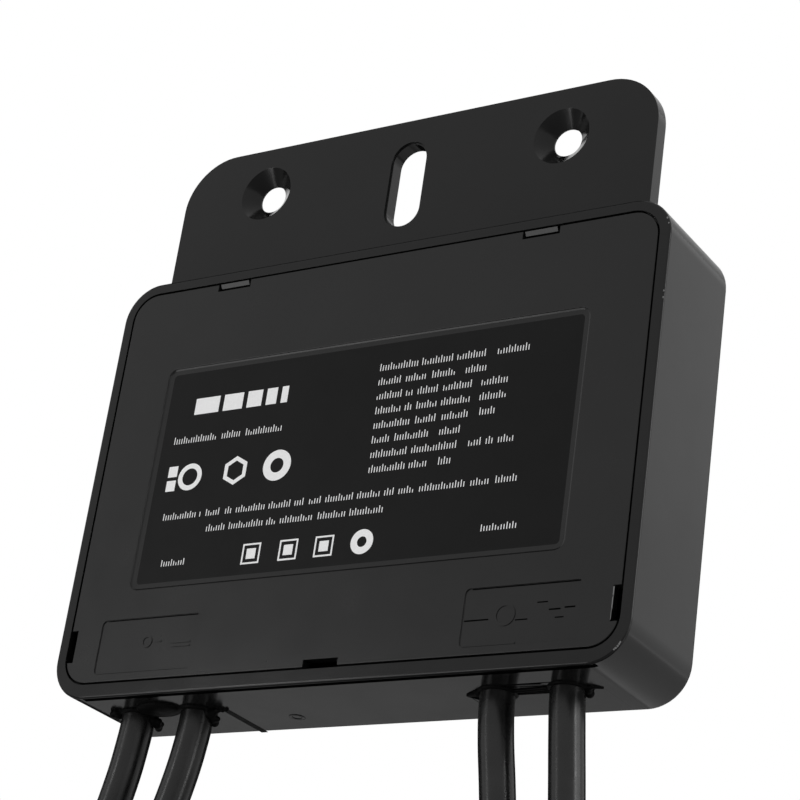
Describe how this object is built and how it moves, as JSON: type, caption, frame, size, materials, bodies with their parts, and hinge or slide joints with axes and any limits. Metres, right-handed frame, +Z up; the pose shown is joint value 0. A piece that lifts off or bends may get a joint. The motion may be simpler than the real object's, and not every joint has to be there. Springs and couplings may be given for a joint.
{
  "type": "power optimizer",
  "caption": "Flat black moulded box with a drilled mounting flange, snap-in cover and paired input and output leads: sets a solar module's working point.",
  "frame": {"origin": "midway between the two flange holes, on the flange's back face, which lies against the frame rail", "axes": "+X to the right seen from the front, +Y from the front face to the back, +Z up from the leads to the flange"},
  "size_m": [0.2271, 0.0483, 0.3647],
  "materials": {
    "housing_plastic": "fine grained satin black",
    "cover_plastic": "fine grained satin black",
    "label_film": "matt black film with white fields",
    "clamp_plastic": "satin black",
    "sealant": "glossy black sealant",
    "board": "green solder mask",
    "screw_steel": "zinc plated",
    "spreader_metal": "plain sheet",
    "thermal_pad": "soft filled silicone",
    "resin": "cast resin",
    "ferrite": "coated powder core",
    "copper": "enamelled or bare copper",
    "capacitor_sleeve": "shrunk sleeve",
    "film_capacitor": "cast box",
    "chip_plastic": "moulded epoxy",
    "tinned_metal": "tinned copper",
    "lead_jacket": "semi-gloss black jacket",
    "tie_plastic": "black nylon",
    "connector_plastic": "satin black"
  },
  "bodies": {
    "root": {"housing": "housing_plastic", "cover": "cover_plastic", "label": "label_film", "input_clamp": "clamp_plastic", "output_clamp": "clamp_plastic", "input_sealant": "sealant", "output_sealant": "sealant", "circuit_board": "board", "board_screws": "screw_steel", "heat_spreader": "spreader_metal", "thermal_pad": "thermal_pad", "potting_compound": "resin", "inductor_core": "ferrite", "inductor_winding": "copper", "input_capacitors": "capacitor_sleeve", "output_capacitors": "film_capacitor", "power_switches": "chip_plastic", "bypass_diode": "chip_plastic", "controller_chip": "chip_plastic", "driver_chips": "chip_plastic", "input_terminals": "tinned_metal", "output_terminals": "tinned_metal", "input_conductors": "copper", "output_conductors": "copper", "input_plus_lead": "lead_jacket", "input_minus_lead": "lead_jacket", "output_plus_lead": "lead_jacket", "output_minus_lead": "lead_jacket", "output_plus_coil": "lead_jacket", "output_minus_coil": "lead_jacket", "output_plus_ties": "tie_plastic", "output_minus_ties": "tie_plastic", "input_plus_nut": "connector_plastic", "input_plus_shell": "connector_plastic", "input_plus_contact": "tinned_metal", "input_minus_nut": "connector_plastic", "input_minus_shell": "connector_plastic", "input_minus_contact": "tinned_metal", "output_plus_nut": "connector_plastic", "output_plus_shell": "connector_plastic", "output_plus_contact": "tinned_metal", "output_minus_nut": "connector_plastic", "output_minus_shell": "connector_plastic", "output_minus_contact": "tinned_metal"}
  },
  "joints": []
}
